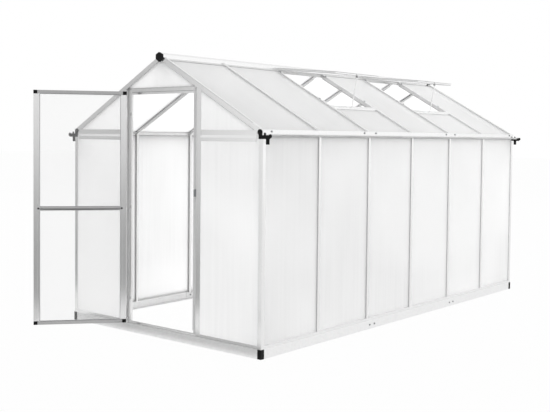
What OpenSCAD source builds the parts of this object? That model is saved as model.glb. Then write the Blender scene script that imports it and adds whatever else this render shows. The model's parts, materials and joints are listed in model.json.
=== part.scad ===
// Walk-in greenhouse: steel base, aluminium bars, twin-wall sheets, a hinged door and two roof vents.
// Millimetres, +Z up, +Y along the house away from the door, origin on the ground under the middle.

/* [House] */
// Outside width of the steel base
house_w = 1900; // [1700:10:2300]
// Spacing of the bars along the sides
bay_pitch = 615; // [560:5:700]
// Number of bays along each side
bays = 6; // [5:1:8]
// Height of the underside of the eaves
eave_h = 1434; // [1350:2:1700]
// Height of the roof line above the underside of the eaves, at the outer face of the side walls
eave_rise = 40; // [38:1:60]
// Rise of the roof line from the side walls to the apex
roof_rise = 526; // [450:2:700]

/* [Base and sills] */
// Height of the steel base
base_h = 63; // [50:1:90]
// Thickness of the base metal
base_t = 2; // [1:0.5:3]
// Width of the base flanges, and of the sills that stand on them
base_flange = 40; // [34:1:60]
// Height of the sill lip above the base
sill_lip_h = 22; // [16:1:30]
// Thickness of the sills
sill_t = 2; // [1.5:0.5:3]
// Width of each face of a base corner cap
base_cap_w = 30; // [24:1:38]
// Thickness of the base corner caps
base_cap_t = 2; // [1:0.5:3]
// Diameter of the anchor holes in the bottom flanges
anchor_d = 10; // [6:1:12]
// Distance of the anchor holes from the ends of the base
anchor_inset = 300; // [200:10:500]

/* [Bars] */
// Width of the outer cap of a bar
bar_cap_w = 22; // [18:1:30]
// Thickness of a bar's cap, web and inner flange
bar_t = 2; // [1.5:0.5:3]
// Depth of a bar from its outer face
bar_depth = 30; // [28:1:38]
// How far the cap of a bar stands out from the sheets
bar_out = 9; // [6:1:12]
// Width of a bar's inner flange
bar_flange_w = 20; // [10:1:22]
// Width of the legs of the corner posts
post_leg = 30; // [26:1:38]
// Thickness of the twin-wall sheets
sheet_t = 4; // [4:1:6]
// Play between a sheet and the bar web beside it
sheet_play = 3; // [1:0.5:5]

/* [Gables] */
// Height of the face of the sloping rafters
rafter_h = 32; // [28:1:44]
// Depth of the rafter soffit
rafter_depth = 32; // [24:1:40]
// Thickness of rafters, rails, door posts and header
frame_t = 3; // [2:0.5:4]
// Height of the drip lip of the gable rails
rail_lip_h = 24; // [18:1:30]
// Height of the sloping band above the drip lip
rail_band_h = 17; // [10:1:24]
// Height of the upper plate of the gable rails
rail_plate_h = 34; // [28:1:40]
// How far the drip lip stands in front of the upper plate
rail_lip_out = 6; // [3:1:10]
// Distance between the studs of the back gable
stud_gap = 634; // [500:10:800]

/* [Eaves and ridge] */
// Height of the outer face of the eaves
eave_face_h = 46; // [44:1:60]
// Depth of the eaves flange that carries the roof bars
eave_flange_w = 40; // [30:1:50]
// Width of the flat gutter floor
gutter_floor_w = 52; // [44:1:80]
// Height of the gutter lip above the floor
gutter_lip_h = 14; // [10:1:26]
// How far the gutter lip leans out
gutter_lean = 20; // [10:1:30]
// Half width of the ridge beam
ridge_half_w = 28; // [22:1:34]
// How far the ridge beam stands above the roof line
ridge_lift = 16; // [6:1:16]
// Height of the upright sides of the ridge beam
ridge_side_h = 29; // [29:1:36]
// Height of the V under the sides of the ridge beam
ridge_v_h = 20; // [20:1:28]
// How far the ridge beam reaches past the gables
ridge_reach = 14; // [6:1:20]
// Thickness of the black end caps
cap_t = 3; // [2:0.5:4]

/* [Door] */
// Width of the front strip of a door post
door_post_w = 40; // [32:1:50]
// Depth of a door post
door_post_depth = 36; // [32:1:40]
// Width of the stop flanges, seen from the front
stop_w = 40; // [37:1:50]
// Depth of the stop behind the front of the posts
stop_set = 20; // [18:1:24]
// Width of the door leaf
leaf_w = 650; // [600:5:720]
// Distance from an edge of the closed leaf to the front strip of the post beside it
leaf_side_gap = 35; // [30:1:36]
// Thickness of the door leaf
leaf_t = 25; // [20:1:26]
// Height of the underside of the door leaf
leaf_z = 76; // [74:1:90]
// Distance of the closed leaf from its stops
leaf_gap = 5; // [5:0.5:8]
// Width of the door stiles
stile_w = 42; // [34:1:50]
// Height of the door rails
door_rail_h = 24; // [20:1:30]
// Height of the middle rail above the underside of the leaf
mid_rail_z = 820; // [600:10:1000]
// Width of the tubes of the stiles and of the black corner caps of the leaf
leaf_cap_w = 27; // [22:1:32]
// Height of the black corner caps of the leaf
leaf_cap_h = 26; // [24:1:36]
// Opening angle that is modelled
door_angle = 130; // [90:1:160]
// Distance of the hinge pin in front of the closed leaf
pin_out = 14; // [12:1:20]
// Distance of the outer hinges from the ends of the leaf
hinge_inset = 160; // [100:10:250]
// Height of the handle and its keeper above the underside of the leaf
latch_z = 970; // [870:10:1200]
// Height of the door header
header_h = 46; // [36:1:60]
// Height of the leaf's lap over the header
header_lap = 20; // [12:1:30]

/* [Vents] */
// Bay of the first roof vent, counted from the door; the second is two bays on
first_vent_bay = 3; // [1:1:3]
// Distance of the vent sill from the middle of the house
vent_sill_x = 590; // [450:10:700]
// Width of the vent sill along the slope
vent_sill_w = 30; // [24:1:40]
// Height of the vent sill
vent_sill_h = 20; // [12:1:26]
// Length of a vent from its hinge to its free edge
vent_len = 585; // [500:5:640]
// Height of the vent frame
vent_frame_h = 14; // [10:1:20]
// Width of the vent frame bars
vent_frame_w = 24; // [18:1:30]
// Slope of an open vent below the level
vent_slope = 5; // [3:0.5:8]

/* [Hidden] */
$fn = 32;
eps = 0.01;

house_l = bays * bay_pitch;
half_w = house_w / 2;
half_l = house_l / 2;
wall_x = half_w - sill_t;          // outer face of the side bars, inside the sill lip
sill_z = base_h + sill_t;          // top of the sill web, on which posts and sheets stand
eave_seat = 4;                     // height of the eaves flange above the underside of the eaves
flange_z = eave_h + eave_seat;     // top of the side bars
flange_top = flange_z + sill_t;
roof_h = eave_h + eave_rise;
roof_angle = atan(roof_rise / half_w);
apex_h = roof_h + roof_rise;
sheet_x = wall_x - bar_out;        // outer face of the side sheets
roof_play = 0.3;                   // play between the roof sheets and the bars above them
gable_in = sill_t + bar_t;         // outer face of the gable sheets, from the front of the sill
rail_bottom = flange_top + bar_t - rail_lip_h - rail_band_h;   // its flange rests on the eaves flange
rail_top = rail_bottom + rail_lip_h + rail_band_h + rail_plate_h;
post_x = leaf_w / 2 + leaf_side_gap;         // inner edge of a door post's front strip
stop_x = post_x - stop_w;                    // free edge of a stop flange
leaf_front = stop_set - leaf_gap - leaf_t;   // front face of the closed leaf, from the gable's front
header_play = 12;                  // gap between the header and the rafters above its ends
header_top = rafter_under(stop_x) - header_play;
header_z = header_top - header_h;
leaf_h = header_z + header_lap - leaf_z;
out_x = wall_x + frame_t;          // outer face of the eaves
cap_neck = 36;                     // a gutter end cap: reach inwards from the outer face of the eaves
cap_drop = 15;                     // depth below the underside of the eaves
cap_band_h = 25;                   // height of the band across the gutter
cap_head_r = 19;                   // radii of its head on the post, its hump and its hook
cap_hump_r = 8;
cap_hook_r = 13;
rail_end = out_x - cap_neck - cap_head_r;    // where the gable rails end, beside the caps
spout_d = 24;                      // outer diameter, wall and length of the gutter spouts
spout_wall = 2;
spout_h = 50;

aluminium = "#d4d7d9";
galvanised = "#c9cccf";
twin_wall = "#eef3f6";
black_plastic = "#222426";

// ---------- helpers ----------

// Height of the roof line at a distance from the middle of the house
function roof_z(x) = apex_h - abs(x) * roof_rise / half_w;

// Height of the underside of the rafters
function rafter_under(x) = roof_z(x) - rafter_h / cos(roof_angle);

// Distance from the middle at which the underside of the rafters has a height
function under_x(z) = (apex_h - rafter_h / cos(roof_angle) - z) * half_w / roof_rise;

// Position along the house of a bar
function bar_y(i) = -half_l + i * bay_pitch;

// A box given by two opposite corners
module block(from, to) translate(from) cube(to - from);

// The same shape on both sides of the house
module both_sides() for (s = [0, 1]) mirror([s, 0, 0]) children();

// The same shape at both ends of the house
module both_ends() for (s = [0, 1]) mirror([0, s, 0]) children();

// A strip parallel to the right roof slope, between two depths below the roof line
module slope_strip(x0, x1, depth0, depth1, y0, y1) {
    drop0 = depth0 / cos(roof_angle);
    drop1 = depth1 / cos(roof_angle);
    translate([0, y1, 0]) rotate([90, 0, 0]) linear_extrude(y1 - y0)
        polygon([[x0, roof_z(x0) - drop0], [x0, roof_z(x0) - drop1],
                 [x1, roof_z(x1) - drop1], [x1, roof_z(x1) - drop0]]);
}

// A profile given as [inward, up] points, run along X at the front gable
module gable_profile(x0, x1, points)
    translate([x0, -half_l, 0]) rotate([90, 0, 90]) linear_extrude(x1 - x0) polygon(points);

// A sheet in the plane of the front gable, outlined as [x, z] points
module gable_sheet(points)
    translate([0, -half_l + gable_in + sheet_t, 0]) rotate([90, 0, 0])
        linear_extrude(sheet_t) polygon(points);

// ---------- base ----------

// Channel of one gable side: web outside, flanges inwards
module base_end() {
    block([-half_w, -half_l, 0], [half_w, -half_l + base_t, base_h]);
    for (z = [0, base_h - base_t])
        block([-half_w + base_t, -half_l, z], [half_w - base_t, -half_l + base_flange, z + base_t]);
}

module base_ends() color(galvanised) both_ends() base_end();

// Side channels between the end ones, with anchor holes in their bottom flanges
module base_sides() color(galvanised) both_sides() difference() {
    union() {
        block([half_w - base_t, -half_l + base_t, 0], [half_w, half_l - base_t, base_h]);
        for (z = [0, base_h - base_t])
            block([half_w - base_flange, -half_l + base_flange, z],
                  [half_w, half_l - base_flange, z + base_t]);
    }
    for (y = [-1, 1])
        translate([half_w - base_flange / 2, y * (half_l - anchor_inset), -1])
            cylinder(d = anchor_d, h = base_t + 2);
}

// Angles clipped over the corners of the base
module base_corner_caps() color(black_plastic) both_sides() both_ends() difference() {
    block([half_w - base_cap_w, -half_l - base_cap_t, 0],
          [half_w + base_cap_t, -half_l + base_cap_w, base_h]);
    block([half_w - base_cap_w - 1, -half_l, -1], [half_w, -half_l + base_cap_w + 1, base_h + 1]);
}

// ---------- sills ----------

// Gable sill: web on the base, lip outside from x0 to the corner
module sill_lip(x0) block([x0, -half_l, base_h], [half_w, -half_l + sill_t, sill_z + sill_lip_h - sill_t]);

module sill_web() block([-wall_x, -half_l, base_h], [wall_x, -half_l + base_flange, sill_z]);

module sill_front() color(aluminium) {
    sill_web();
    both_sides() sill_lip(post_x + door_post_w);
}

module sill_back() color(aluminium) mirror([0, 1, 0]) {
    sill_web();
    both_sides() sill_lip(0);
}

module sill_sides() color(aluminium) both_sides() {
    block([half_w - sill_t, -half_l + sill_t, base_h],
          [half_w, half_l - sill_t, base_h + sill_lip_h]);
    block([half_w - base_flange, -half_l + base_flange, base_h],
          [half_w, half_l - base_flange, sill_z]);
}

// ---------- walls ----------

module corner_posts() color(aluminium) both_sides() both_ends() {
    block([wall_x - bar_t, -half_l + sill_t, sill_z], [wall_x, -half_l + sill_t + post_leg, flange_z]);
    block([wall_x - post_leg, -half_l + sill_t, sill_z], [wall_x, -half_l + gable_in, flange_z]);
    block([sheet_x, -half_l + post_leg, sill_z], [wall_x, -half_l + post_leg + bar_t, flange_z]);
}

// Upright bar of the right wall: cap with two lips on the sheets, web and inner flange
module side_bar() {
    block([wall_x - bar_t, -bar_cap_w / 2, sill_z], [wall_x, bar_cap_w / 2, flange_z]);
    for (s = [0, 1]) mirror([0, s, 0])
        block([sheet_x, bar_cap_w / 2 - bar_t, sill_z], [wall_x, bar_cap_w / 2, flange_z]);
    block([wall_x - bar_depth, -bar_t / 2, sill_z], [wall_x, bar_t / 2, flange_z]);
    block([wall_x - bar_depth, -bar_flange_w / 2, sill_z],
          [wall_x - bar_depth + bar_t, bar_flange_w / 2, flange_z]);
}

module side_bars() for (i = [1:bays - 1]) translate([0, bar_y(i), 0]) side_bar();

module side_bars_right() color(aluminium) side_bars();

module side_bars_left() color(aluminium) mirror([1, 0, 0]) side_bars();

// First and last side sheets end behind the corner posts
function sheet_start(i) = i == 0 ? -half_l + gable_in + sheet_t + sheet_play : bar_y(i) + bar_t / 2 + sheet_play;

function sheet_end(i) = -sheet_start(bays - 1 - i);

module wall_panels() for (i = [0:bays - 1])
    block([sheet_x - sheet_t, sheet_start(i), sill_z], [sheet_x, sheet_end(i), flange_z]);

module wall_panels_right() color(twin_wall) wall_panels();

module wall_panels_left() color(twin_wall) mirror([1, 0, 0]) wall_panels();

// ---------- eaves ----------

// Outline of the right eaves outside the wall: upright face, gutter floor and leaning lip
module eave_outline() {
    lip_x = out_x + gutter_floor_w;
    polygon([
        [wall_x, eave_h], [lip_x, eave_h], [lip_x + gutter_lean, eave_h + gutter_lip_h],
        [lip_x + gutter_lean - sill_t, eave_h + gutter_lip_h + sill_t],
        [lip_x - sill_t, eave_h + sill_t], [out_x, eave_h + sill_t],
        [out_x, eave_h + eave_face_h], [wall_x, eave_h + eave_face_h]
    ]);
}

module eave() {
    end = half_l - gable_in - sheet_t;
    translate([0, half_l, 0]) rotate([90, 0, 0]) linear_extrude(house_l) eave_outline();
    block([wall_x - eave_flange_w, -end, flange_z], [wall_x + eps, end, flange_top]);
}

module eave_right() color(aluminium) eave();

module eave_left() color(aluminium) mirror([1, 0, 0]) eave();

// Outline of a gutter end cap: band, neck and round head on the post, hump and rounded hook
module gutter_cap_outline() translate([out_x, eave_h - cap_drop]) {
    hook_x = gutter_floor_w + gutter_lean - cap_hook_r + 1;
    translate([-cap_neck, 0]) square([cap_neck + hook_x, cap_band_h]);
    translate([-cap_neck, 0]) square([cap_neck - cap_hump_r, cap_band_h + cap_head_r]);
    translate([-cap_neck + cap_head_r / 2, cap_band_h + cap_head_r]) circle(cap_head_r);
    translate([cap_hump_r, cap_band_h - 1]) square([2 * cap_hump_r, cap_hump_r]);
    translate([2 * cap_hump_r, cap_band_h + cap_hump_r]) circle(cap_hump_r);
    translate([hook_x, cap_drop + gutter_lip_h + sill_t - cap_hook_r]) circle(cap_hook_r);
}

// Black plates that close the ends of the gutters, each with a short spout behind it
module gutter_end_caps() color(black_plastic) both_sides() both_ends() {
    translate([0, -half_l, 0]) rotate([90, 0, 0]) linear_extrude(cap_t) gutter_cap_outline();
    translate([out_x + gutter_floor_w / 2, -half_l + spout_d / 2 + cap_t, eave_h - spout_h])
        difference() {
            cylinder(d = spout_d, h = spout_h);
            translate([0, 0, -1]) cylinder(d = spout_d - 2 * spout_wall, h = spout_h - spout_wall + 1);
        }
}

// ---------- roof ----------

module ridge_outline(grow) {
    side = ridge_half_w + grow;
    top = roof_z(ridge_half_w) + ridge_lift + grow;
    polygon([
        [0, apex_h + ridge_lift + grow], [side, top], [side, top - ridge_side_h - grow],
        [0, top - ridge_side_h - ridge_v_h - 2 * grow],
        [-side, top - ridge_side_h - grow], [-side, top]
    ]);
}

module ridge_prism(length, grow) translate([0, length / 2, 0]) rotate([90, 0, 0])
    linear_extrude(length) ridge_outline(grow);

module ridge_beam() color(aluminium) difference() {
    ridge_prism(house_l + 2 * ridge_reach, 0);
    ridge_prism(house_l + 2 * ridge_reach + 2, -bar_t);
}

module ridge_caps() color(black_plastic) both_ends() difference() {
    translate([0, -half_l - (ridge_reach + cap_t) / 2, 0]) ridge_prism(ridge_reach + cap_t, bar_t);
    translate([0, -half_l, 0]) ridge_prism(2 * ridge_reach, 0);
}

// Cuts that seat sloping bars on what carries them: eaves flange, gable rail and ridge
module below_eaves() block([-half_w * 2, -half_l * 2, 0], [half_w * 2, half_l * 2, flange_top]);

module rafter() {
    slope_strip(0, wall_x, 0, rafter_h, -half_l, -half_l + frame_t);
    lip_y = -half_l + bar_cap_w + frame_t;
    slope_strip(0, wall_x, 0, bar_t, -half_l, lip_y);
    slope_strip(0, wall_x, 0, bar_out, lip_y - bar_t, lip_y);
    slope_strip(0, wall_x, rafter_h - bar_t, rafter_h, -half_l, -half_l + rafter_depth);
}

module rafters() difference() {
    both_sides() rafter();
    ridge_prism(house_l + 2 * ridge_reach + 2, 0);
    below_eaves();
    both_sides() block([0, -half_l - 1, 0], [rail_end, -half_l + rafter_depth + 1, rail_top]);
}

module rafters_front() color(aluminium) rafters();

module rafters_back() color(aluminium) mirror([0, 1, 0]) rafters();

module roof_bar() difference() {
    union() {
        slope_strip(ridge_half_w, wall_x, 0, bar_t, -bar_cap_w / 2, bar_cap_w / 2);
        for (s = [0, 1]) mirror([0, s, 0])
            slope_strip(ridge_half_w, wall_x, 0, bar_out, bar_cap_w / 2 - bar_t, bar_cap_w / 2);
        slope_strip(ridge_half_w, wall_x, 0, bar_depth, -bar_t / 2, bar_t / 2);
        slope_strip(ridge_half_w, wall_x, bar_depth - bar_t, bar_depth, -bar_flange_w / 2, bar_flange_w / 2);
    }
    below_eaves();
    ridge_prism(house_l, 0);
}

module roof_bars() for (i = [1:bays - 1]) translate([0, bar_y(i), 0]) roof_bar();

module roof_bars_right() color(aluminium) roof_bars();

module roof_bars_left() color(aluminium) mirror([1, 0, 0]) roof_bars();

function is_vent_bay(i) = i == first_vent_bay - 1 || i == first_vent_bay + 1;

// Depths of the roof sheets below the roof line
roof_sheet_top = bar_out + roof_play;
roof_sheet_under = roof_sheet_top + sheet_t;

// Roof sheet of one bay, down from x0
module roof_panel(i, x0) slope_strip(x0, wall_x, roof_sheet_top, roof_sheet_under,
    i == 0 ? -half_l + frame_t + sheet_play : sheet_start(i),
    i == bays - 1 ? half_l - frame_t - sheet_play : sheet_end(i));

sill_tuck = 10;                    // how far the sheets below the vents reach into the sills
sill_groove_x = vent_sill_x + vent_sill_w / 2 - sill_tuck;

module roof_panels_left() color(twin_wall) mirror([1, 0, 0]) for (i = [0:bays - 1])
    roof_panel(i, ridge_half_w);

module roof_panels_right() color(twin_wall) for (i = [0:bays - 1])
    roof_panel(i, is_vent_bay(i) ? sill_groove_x : ridge_half_w);

// ---------- gables ----------

// Z-shaped rail with a drip lip in front and a flange behind
rail_points = let (z0 = rail_bottom, z1 = z0 + rail_lip_h, z2 = z1 + rail_band_h) [
    [sill_t - rail_lip_out, z0], [sill_t - rail_lip_out, z1], [sill_t, z2], [sill_t, rail_top],
    [gable_in, rail_top], [gable_in, z2], [base_flange / 2, z2], [base_flange / 2, z2 - bar_t],
    [gable_in, z2 - bar_t], [gable_in - rail_lip_out, z1 - bar_t], [gable_in - rail_lip_out, z0]
];

rail_seat = rail_points[6][1];     // top and underside of the rails' inner flange
rail_under = rail_points[7][1];

module gable_rails_front() color(aluminium) both_sides()
    gable_profile(post_x + door_post_w, rail_end, rail_points);

module gable_rails_back() color(aluminium) mirror([0, 1, 0]) {
    gable_profile(-stud_gap / 2 + bar_cap_w / 2, stud_gap / 2 - bar_cap_w / 2, rail_points);
    both_sides() gable_profile(stud_gap / 2 + bar_cap_w / 2, rail_end, rail_points);
}

// Cuts an upright off at the underside of the rafters
module under_rafters() both_sides() slope_strip(0, half_w, rafter_h, apex_h * 2, -half_l * 2, half_l * 2);

module back_studs() color(aluminium) mirror([0, 1, 0]) both_sides() intersection() {
    translate([stud_gap / 2, -half_l, 0]) {
        block([-bar_cap_w / 2, sill_t, sill_z], [bar_cap_w / 2, gable_in, apex_h]);
        block([-bar_t / 2, sill_t, sill_z], [bar_t / 2, bar_depth, apex_h]);
    }
    under_rafters();
}

// Right door post: front strip, return, stop flange and inner leg
module door_post() intersection() {
    translate([0, -half_l, 0]) {
        block([post_x, 0, sill_z], [post_x + door_post_w, frame_t, apex_h]);
        block([post_x, 0, sill_z], [post_x + frame_t, stop_set + frame_t, apex_h]);
        block([stop_x, stop_set, sill_z], [post_x + frame_t, stop_set + frame_t, apex_h]);
        block([stop_x, stop_set, sill_z], [stop_x + frame_t, door_post_depth, apex_h]);
    }
    under_rafters();
}

module door_post_right() color(aluminium) door_post();

module door_post_left() color(aluminium) mirror([1, 0, 0]) door_post();

// Header between the stop flanges: face plate and a top flange that carries the gable sheet
module door_header() color(aluminium) gable_profile(-stop_x, stop_x, [
    [stop_set, header_z], [stop_set + bar_t, header_z], [stop_set + bar_t, header_top],
    [gable_in, header_top], [gable_in, header_top - bar_t],
    [stop_set, header_top - bar_t]
]);

module door_threshold() color(aluminium) gable_profile(-stop_x, stop_x, [
    [0, sill_z], [base_flange, sill_z], [base_flange, sill_z + bar_t],
    [stop_set + bar_t, sill_z + bar_t], [stop_set + bar_t, leaf_z + bar_t],
    [stop_set, leaf_z + bar_t], [stop_set, sill_z + bar_t], [0, sill_z + bar_t]
]);

module wall_panels_front() color(twin_wall) both_sides() gable_sheet([
    [post_x + frame_t + sheet_play, sill_z], [sheet_x - sheet_t - sheet_play, sill_z],
    [sheet_x - sheet_t - sheet_play, rail_under], [post_x + frame_t + sheet_play, rail_under]
]);

ridge_under = roof_z(ridge_half_w) + ridge_lift - ridge_side_h - ridge_v_h;

module gable_panels_front() color(twin_wall) {
    x0 = post_x + frame_t + sheet_play;
    both_sides() gable_sheet([
        [x0, rail_seat], [under_x(rail_seat), rail_seat], [x0, rafter_under(x0)]
    ]);
    x1 = min(stop_x, under_x(header_top));
    x2 = under_x(ridge_under);
    gable_sheet([
        [-x1, header_top], [x1, header_top], [x1, rafter_under(x1)],
        [x2, ridge_under], [-x2, ridge_under], [-x1, rafter_under(x1)]
    ]);
}

module wall_panels_back() color(twin_wall) mirror([0, 1, 0]) {
    x0 = stud_gap / 2 - bar_t / 2 - sheet_play;
    x1 = stud_gap / 2 + bar_t / 2 + sheet_play;
    x2 = sheet_x - sheet_t - sheet_play;
    gable_sheet([[-x0, sill_z], [x0, sill_z], [x0, rail_under], [-x0, rail_under]]);
    both_sides() gable_sheet([[x1, sill_z], [x2, sill_z], [x2, rail_under], [x1, rail_under]]);
}

module gable_panels_back() color(twin_wall) mirror([0, 1, 0]) {
    x0 = stud_gap / 2 - bar_t / 2 - sheet_play;
    x1 = stud_gap / 2 + bar_t / 2 + sheet_play;
    x2 = under_x(ridge_under);
    gable_sheet([
        [-x0, rail_seat], [x0, rail_seat], [x0, rafter_under(x0)],
        [x2, ridge_under], [-x2, ridge_under], [-x0, rafter_under(x0)]
    ]);
    both_sides() gable_sheet([[x1, rail_seat], [under_x(rail_seat), rail_seat], [x1, rafter_under(x1)]]);
}

// ---------- roof vents ----------

vent_bays = [first_vent_bay - 1, first_vent_bay + 1];
vent_side_play = 2;                // play between a vent and the caps of the bars beside it
vent_w = bay_pitch - bar_cap_w - 2 * vent_side_play;
hinge_x = ridge_half_w + 4;        // the hinge line lies just outside the ridge, between the bars
hinge_drop = 8;                    // depth of the underside of the vents below the roof line there
hinge_z = roof_z(hinge_x) - hinge_drop;
pane_play = 1;                     // play of a vent's sheet in its frame
stay_w = 12;                       // width and thickness of the stays
stay_t = 4;
stay_tail = 40;                    // how far the tail of a stay hangs in and down

// A point of the open vents: distance from the hinge line, height above the underside
function vent_point(l, h) = [hinge_x + l * cos(vent_slope) + h * sin(vent_slope),
                             hinge_z - l * sin(vent_slope) + h * cos(vent_slope)];

module vent_sills() color(aluminium) for (i = vent_bays)
    difference() {
        slope_strip(vent_sill_x - vent_sill_w / 2, vent_sill_x + vent_sill_w / 2, 0, vent_sill_h,
                    bar_y(i) + bar_t / 2, bar_y(i + 1) - bar_t / 2);
        for (k = [i, i + 1])
            slope_strip(0, half_w, -1, bar_out + roof_play,
                        bar_y(k) - bar_cap_w / 2, bar_y(k) + bar_cap_w / 2);
        slope_strip(sill_groove_x, half_w, bar_out, roof_sheet_under + roof_play, bar_y(i), bar_y(i + 1));
    }

// Local frame of an open vent: +X from the hinge to the free edge, +Z up
module at_vent(i) translate([hinge_x, bar_y(i) + bay_pitch / 2, hinge_z]) rotate([0, vent_slope, 0]) children();

module vent_frames() color(aluminium) for (i = vent_bays) at_vent(i) difference() {
    block([0, -vent_w / 2, 0], [vent_len, vent_w / 2, vent_frame_h]);
    block([bar_t, -vent_w / 2 + bar_t, bar_t], [vent_len - bar_t, vent_w / 2 - bar_t, vent_frame_h + 1]);
    block([vent_frame_w, -vent_w / 2 + vent_frame_w, -1],
          [vent_len - vent_frame_w, vent_w / 2 - vent_frame_w, vent_frame_h]);
}

module vent_panes() color(twin_wall) for (i = vent_bays) at_vent(i)
    block([bar_t + pane_play, -vent_w / 2 + bar_t + pane_play, bar_t],
          [vent_len - bar_t - pane_play, vent_w / 2 - bar_t - pane_play, bar_t + sheet_t]);

// Bent stay from the free edge of the vent to the sill, with its tail hanging inside
module vent_stays() color(aluminium) for (i = vent_bays) translate([0, bar_y(i) + bay_pitch / 2 + stay_w / 2, 0])
    rotate([90, 0, 0]) linear_extrude(stay_w) {
        x = vent_sill_x - vent_sill_w / 2;
        z = roof_z(x);
        polygon([
            vent_point(vent_len, vent_frame_h), vent_point(vent_len, 0),
            [x - stay_t, z + stay_w], [x - stay_t, z - 2 * stay_t],
            [x - stay_t - stay_tail, z - 2 * stay_t - stay_tail],
            [x - stay_tail, z - 3 * stay_t - stay_tail],
            [x, z - 3 * stay_t], [x, z + stay_w],
            vent_point(vent_len + stay_t, 0), vent_point(vent_len + stay_t, vent_frame_h)
        ]);
    }

// ---------- door ----------

pin_x = -leaf_w / 2;
pin_y = -half_l + leaf_front - pin_out;
pin_d = 7;
knuckle_h = 60;
arm_h = 20;                         // height of the arms that carry the pins
hinge_play = 0.4;                   // running play of the eyes on the pins and beside the arms
stile_flange_t = 12;                // depth of the flanges of the stiles
pull_d = 12;                        // thickness, foot spacing and reach of the pull
pull_gap = 100;
pull_out = 28;
keeper_h = 50;
rail_set = 1;                       // how far the faces of the rails lie behind those of the stiles
leaf_top = leaf_z + leaf_h;
knuckle_z = [leaf_z + hinge_inset, leaf_z + leaf_h / 2, leaf_top - hinge_inset];

// Places the closed leaf's shapes at the modelled opening angle
module at_leaf() translate([pin_x, pin_y, 0]) rotate([0, 0, -door_angle]) translate([-pin_x, -pin_y, 0]) children();

// A box in the closed leaf, with its depth measured from the front of the gable
module leaf_block(x0, x1, z0, z1, d0, d1) block([x0, -half_l + d0, z0], [x1, -half_l + d1, z1]);

// Pins of the hinges, each with an arm at its middle and a plate on the left door post
module door_hinge_knuckles() color(aluminium) for (z = knuckle_z) {
    plate_w = 14;
    plate_x = -post_x - 1;
    translate([pin_x, pin_y, z - knuckle_h / 2]) cylinder(d = pin_d, h = knuckle_h);
    block([plate_x - plate_w, -half_l - bar_t, z - knuckle_h / 2], [plate_x, -half_l, z + knuckle_h / 2]);
    translate([0, 0, z - arm_h / 2]) linear_extrude(arm_h) polygon([
        [plate_x - bar_t, -half_l - bar_t + eps], [plate_x, -half_l - bar_t + eps],
        [pin_x - bar_t, pin_y + bar_t / 2], [pin_x - bar_t, pin_y - bar_t / 2]
    ]);
}

// Leaves of the hinges on the front of the hinge stile, with eyes on the pins above and below the arms
module door_hinge_leaves() color(aluminium) at_leaf() for (z = knuckle_z) {
    face_y = -half_l + leaf_front;
    bore = pin_d + 2 * hinge_play;
    eye_d = bore + 2 * bar_t;
    block([pin_x + bar_t, face_y - bar_t, z - knuckle_h / 2], [pin_x + leaf_cap_w - bar_t, face_y, z + knuckle_h / 2]);
    for (z0 = [z - knuckle_h / 2, z + arm_h / 2 + hinge_play]) {
        h = (knuckle_h - arm_h) / 2 - hinge_play;
        translate([pin_x, pin_y, z0]) difference() {
            union() {
                cylinder(d = eye_d, h = h);
                block([bar_t, 0, 0], [eye_d / 2, pin_out - bar_t + eps, h]);
            }
            translate([0, 0, -1]) cylinder(d = bore, h = h + 2);
        }
    }
}

// Square tubes with a thinner flange towards the panes
module door_stiles() color(aluminium) at_leaf() both_sides() {
    x = leaf_w / 2 - leaf_cap_w;
    d = leaf_front + (leaf_t - stile_flange_t) / 2;
    leaf_block(x, leaf_w / 2, leaf_z + leaf_cap_h, leaf_top - leaf_cap_h, leaf_front, leaf_front + leaf_t);
    leaf_block(leaf_w / 2 - stile_w, x + eps, leaf_z + leaf_cap_h, leaf_top - leaf_cap_h, d, d + stile_flange_t);
}

module door_rails() color(aluminium) at_leaf() {
    d0 = leaf_front + rail_set;
    d1 = leaf_front + leaf_t - rail_set;
    x = leaf_w / 2 - leaf_cap_w;
    for (z = [leaf_z, leaf_top - door_rail_h])
        leaf_block(-x, x, z, z + door_rail_h, d0, d1);
    leaf_block(-leaf_w / 2 + stile_w, leaf_w / 2 - stile_w, leaf_z + mid_rail_z, leaf_z + mid_rail_z + door_rail_h,
               d0, d1);
}

module door_panes() color(twin_wall) at_leaf() {
    x = leaf_w / 2 - stile_w;
    d = leaf_front + (leaf_t - sheet_t) / 2;
    leaf_block(-x, x, leaf_z + door_rail_h, leaf_z + mid_rail_z, d, d + sheet_t);
    leaf_block(-x, x, leaf_z + mid_rail_z + door_rail_h, leaf_top - door_rail_h, d, d + sheet_t);
}

module door_corner_caps() color(black_plastic) at_leaf() both_sides()
    for (z = [leaf_z, leaf_top - leaf_cap_h])
        leaf_block(leaf_w / 2 - leaf_cap_w, leaf_w / 2, z, z + leaf_cap_h, leaf_front, leaf_front + leaf_t);

// D-shaped pull on the outer face of the latch stile
module door_handle() color(black_plastic) at_leaf() {
    x = leaf_w / 2 - leaf_cap_w / 2;
    z = leaf_z + latch_z;
    half = pull_d / 2;
    grip = leaf_front - pull_out;
    for (dz = [-1, 1])
        leaf_block(x - half, x + half, z + dz * pull_gap / 2 - half, z + dz * pull_gap / 2 + half, grip, leaf_front);
    leaf_block(x - half, x + half, z - pull_gap / 2 - half, z + pull_gap / 2 + half, grip - pull_d, grip + eps);
}

// Catch on the right door post, beside the closed leaf
module latch_keeper() color(aluminium)
    block([leaf_w / 2 + leaf_gap, -half_l + bar_t, leaf_z + latch_z - keeper_h / 2],
          [post_x, -half_l + stop_set, leaf_z + latch_z + keeper_h / 2]);

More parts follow.
